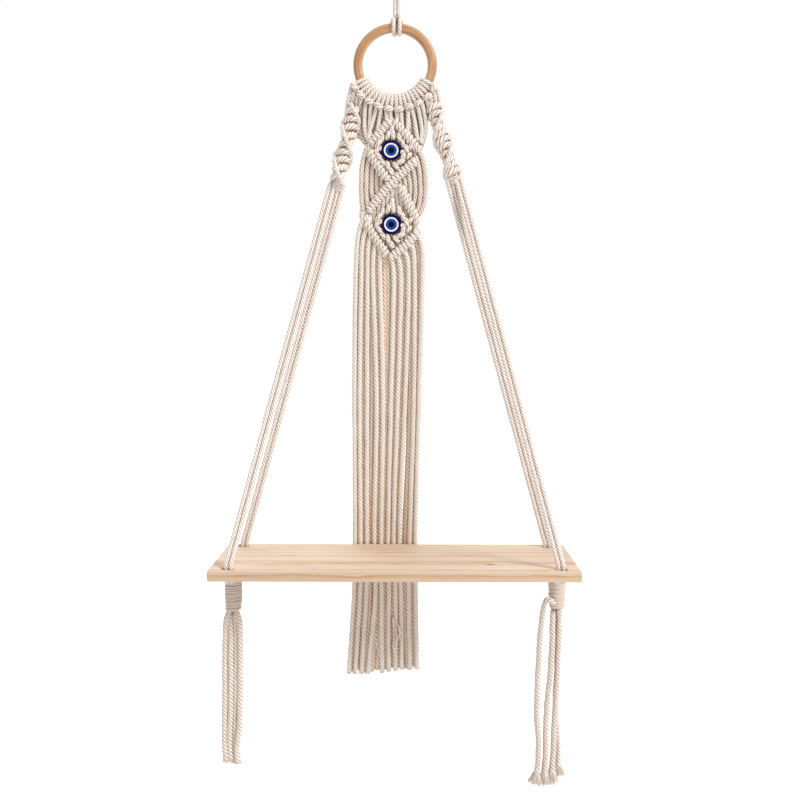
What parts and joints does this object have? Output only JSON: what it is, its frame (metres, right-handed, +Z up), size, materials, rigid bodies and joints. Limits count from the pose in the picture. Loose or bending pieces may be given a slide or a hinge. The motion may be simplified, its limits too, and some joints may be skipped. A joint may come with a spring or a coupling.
{
  "type": "hanging rope shelf",
  "caption": "Wooden board slung from a wooden ring by knotted cotton cord, with a diamond-patterned knotted panel, round beads and a long cord fringe.",
  "frame": {"origin": "inside top of the hanging loop, where it bears on its hook", "axes": "+Z up, +X to the right of someone who looks at the knotted panel, +Y to the back"},
  "size_m": [0.4, 0.1413, 0.9366],
  "materials": {
    "cotton": "matte twisted cotton",
    "pine": "bare sanded pine",
    "ring_wood": "turned and smooth",
    "bead_glass": "glossy"
  },
  "bodies": {
    "hanger": {"hanging_cord": "cotton", "loop_knot": "cotton"},
    "hitch": {"hanging_hitch": "cotton"},
    "shelf": {"wood_ring": "ring_wood", "larks_head_01": "cotton", "larks_head_02": "cotton", "larks_head_03": "cotton", "larks_head_04": "cotton", "larks_head_05": "cotton", "larks_head_06": "cotton", "larks_head_07": "cotton", "larks_head_08": "cotton", "larks_head_09": "cotton", "larks_head_10": "cotton", "left_spiral_sinnet": "cotton", "right_spiral_sinnet": "cotton", "left_front_side_cord_1": "cotton", "left_front_side_cord_2": "cotton", "left_rear_side_cord_1": "cotton", "left_rear_side_cord_2": "cotton", "right_front_side_cord_1": "cotton", "right_front_side_cord_2": "cotton", "right_rear_side_cord_1": "cotton", "right_rear_side_cord_2": "cotton", "shelf_board": "pine", "left_wrap_knot": "cotton", "right_wrap_knot": "cotton"},
    "panel": {"upper_diamond_top_left_bar": "cotton", "upper_diamond_top_right_bar": "cotton", "crossing_bar": "cotton", "upper_diamond_bottom_left_bar": "cotton", "lower_diamond_top_right_bar": "cotton", "lower_diamond_bottom_left_bar": "cotton", "lower_diamond_bottom_right_bar": "cotton", "upper_bead_pad": "cotton", "lower_bead_pad": "cotton", "middle_left_fan": "cotton", "middle_right_fan": "cotton", "fringe_strand_01": "cotton", "fringe_strand_02": "cotton", "fringe_strand_03": "cotton", "fringe_strand_04": "cotton", "fringe_strand_05": "cotton", "fringe_strand_06": "cotton", "fringe_strand_07": "cotton", "fringe_strand_08": "cotton", "fringe_strand_09": "cotton", "fringe_strand_10": "cotton", "fringe_strand_11": "cotton", "fringe_strand_12": "cotton"},
    "upper_bead": {"upper_eye_bead": "bead_glass"},
    "lower_bead": {"lower_eye_bead": "bead_glass"},
    "left_tassel": {"left_tail_1": "cotton", "left_tail_2": "cotton", "left_tail_3": "cotton", "left_tail_4": "cotton"},
    "right_tassel": {"right_tail_1": "cotton", "right_tail_2": "cotton", "right_tail_3": "cotton", "right_tail_4": "cotton"}
  },
  "joints": [
    {"name": "shelf_twist", "type": "hinge", "parent": "hanger", "child": "hitch", "pos_m": [0, 0, -0.0587], "axis": [0, 0, 1], "range_deg": [-60, 60]},
    {"name": "shelf_swing", "type": "hinge", "parent": "hitch", "child": "shelf", "pos_m": [0, 0, -0.07525], "axis": [1, 0, 0], "range_deg": [-12, 12]},
    {"name": "panel_swing", "type": "hinge", "parent": "shelf", "child": "panel", "pos_m": [0, -0.003, -0.171], "axis": [1, 0, 0], "range_deg": [0, 8]},
    {"name": "upper_bead_turn", "type": "hinge", "parent": "panel", "child": "upper_bead", "pos_m": [-0.00431, -0.00338, -0.2148], "axis": [0, -0.1414, 0.99], "range_deg": [-12, 12]},
    {"name": "lower_bead_turn", "type": "hinge", "parent": "panel", "child": "lower_bead", "pos_m": [-0.00431, 0.00839, -0.2972], "axis": [0, -0.1414, 0.99], "range_deg": [-12, 12]},
    {"name": "left_tassel_swing", "type": "hinge", "parent": "shelf", "child": "left_tassel", "pos_m": [-0.183, -0.004, -0.73514], "axis": [1, 0, 0], "range_deg": [-15, 15]},
    {"name": "right_tassel_swing", "type": "hinge", "parent": "shelf", "child": "right_tassel", "pos_m": [0.183, -0.004, -0.73514], "axis": [1, 0, 0], "range_deg": [-15, 15]}
  ]
}
